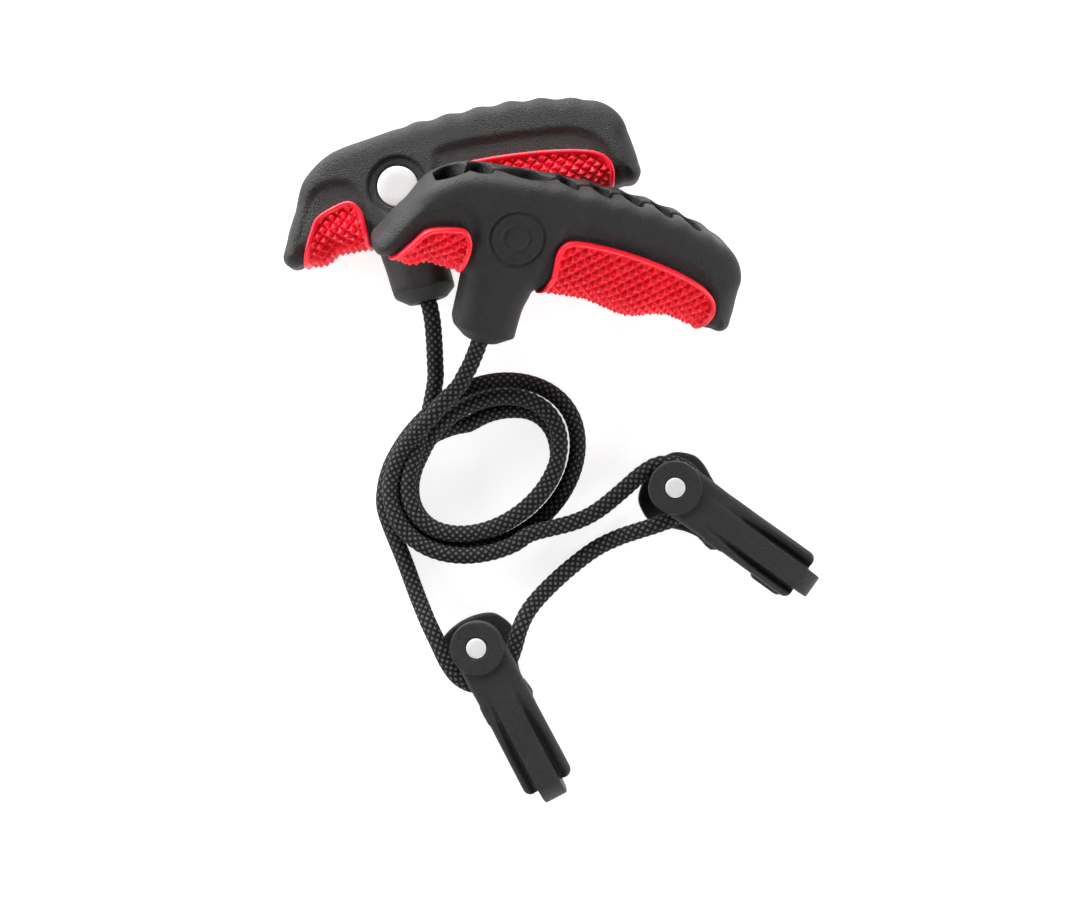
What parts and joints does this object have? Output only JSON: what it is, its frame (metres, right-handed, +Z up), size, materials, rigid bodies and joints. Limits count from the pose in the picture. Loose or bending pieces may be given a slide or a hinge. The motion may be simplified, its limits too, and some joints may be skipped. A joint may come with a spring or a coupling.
{
  "type": "crossbow rope cocking aid",
  "caption": "Rope cocking aid laid flat: two ergonomic T-handles on the ends of a coiled braided rope, with sliding string hooks that ride on sheaves.",
  "frame": {"origin": "middle of the rigid pieces' footprint on the table: both handles and both hooks, without the rope", "axes": "+Z up from the table; +Y from the hooks towards the handles; +X to the right seen from above"},
  "size_m": [0.1968, 0.257, 0.0574],
  "materials": {
    "handle_plastic": "fine-grained moulded black",
    "grip_rubber": "knurled soft-touch red",
    "magnet_steel": "bright plated disc",
    "pin_steel": "bright satin",
    "rope_braid": "black braided sheath with grey flecks",
    "hook_plastic": "satin moulded black",
    "sheave_plastic": "satin moulded black"
  },
  "bodies": {
    "rope": {"rope_coil": "rope_braid", "rope_run_a": "rope_braid", "rope_run_b": "rope_braid", "rope_run_hooks": "rope_braid"},
    "handle_a": {"handle_body_a": "handle_plastic", "long_pad_a": "grip_rubber", "short_pad_a": "grip_rubber", "magnet_a": "magnet_steel", "knot_washer_a": "pin_steel", "rope_knot_a": "rope_braid", "rope_tail_a": "rope_braid"},
    "handle_b": {"handle_body_b": "handle_plastic", "long_pad_b": "grip_rubber", "short_pad_b": "grip_rubber", "magnet_b": "magnet_steel", "knot_washer_b": "pin_steel", "rope_knot_b": "rope_braid", "rope_tail_b": "rope_braid"},
    "hook_1": {"hook_body_1": "hook_plastic", "axle_pin_1": "pin_steel", "axle_clip_1": "pin_steel"},
    "hook_2": {"hook_body_2": "hook_plastic", "axle_pin_2": "pin_steel", "axle_clip_2": "pin_steel"},
    "sheave_1": {"sheave_1": "sheave_plastic"},
    "sheave_2": {"sheave_2": "sheave_plastic"}
  },
  "joints": [
    {"name": "handle_a_turn", "type": "hinge", "parent": "rope", "child": "handle_a", "pos_m": [-0.02581, 0.04333, 0.02255], "axis": [0, 0, 1], "range_deg": [-25, 0]},
    {"name": "handle_b_turn", "type": "hinge", "parent": "rope", "child": "handle_b", "pos_m": [-0.04582, 0.05707, 0.0138], "axis": [0, 0, 1], "range_deg": [0, 30]},
    {"name": "hook_1_swing", "type": "hinge", "parent": "rope", "child": "hook_1", "pos_m": [-0.02781, -0.07063, 0.009], "axis": [0, 0, 1], "range_deg": [-50, 50]},
    {"name": "hook_2_swing", "type": "hinge", "parent": "rope", "child": "hook_2", "pos_m": [0.04458, -0.01223, 0.009], "axis": [0, 0, 1], "range_deg": [-50, 50]},
    {"name": "sheave_1_spin", "type": "hinge", "parent": "hook_1", "child": "sheave_1", "pos_m": [-0.02781, -0.07063, 0.009], "axis": [0, 0, 1], "continuous": true},
    {"name": "sheave_2_spin", "type": "hinge", "parent": "hook_2", "child": "sheave_2", "pos_m": [0.04458, -0.01223, 0.009], "axis": [0, 0, 1], "continuous": true}
  ]
}
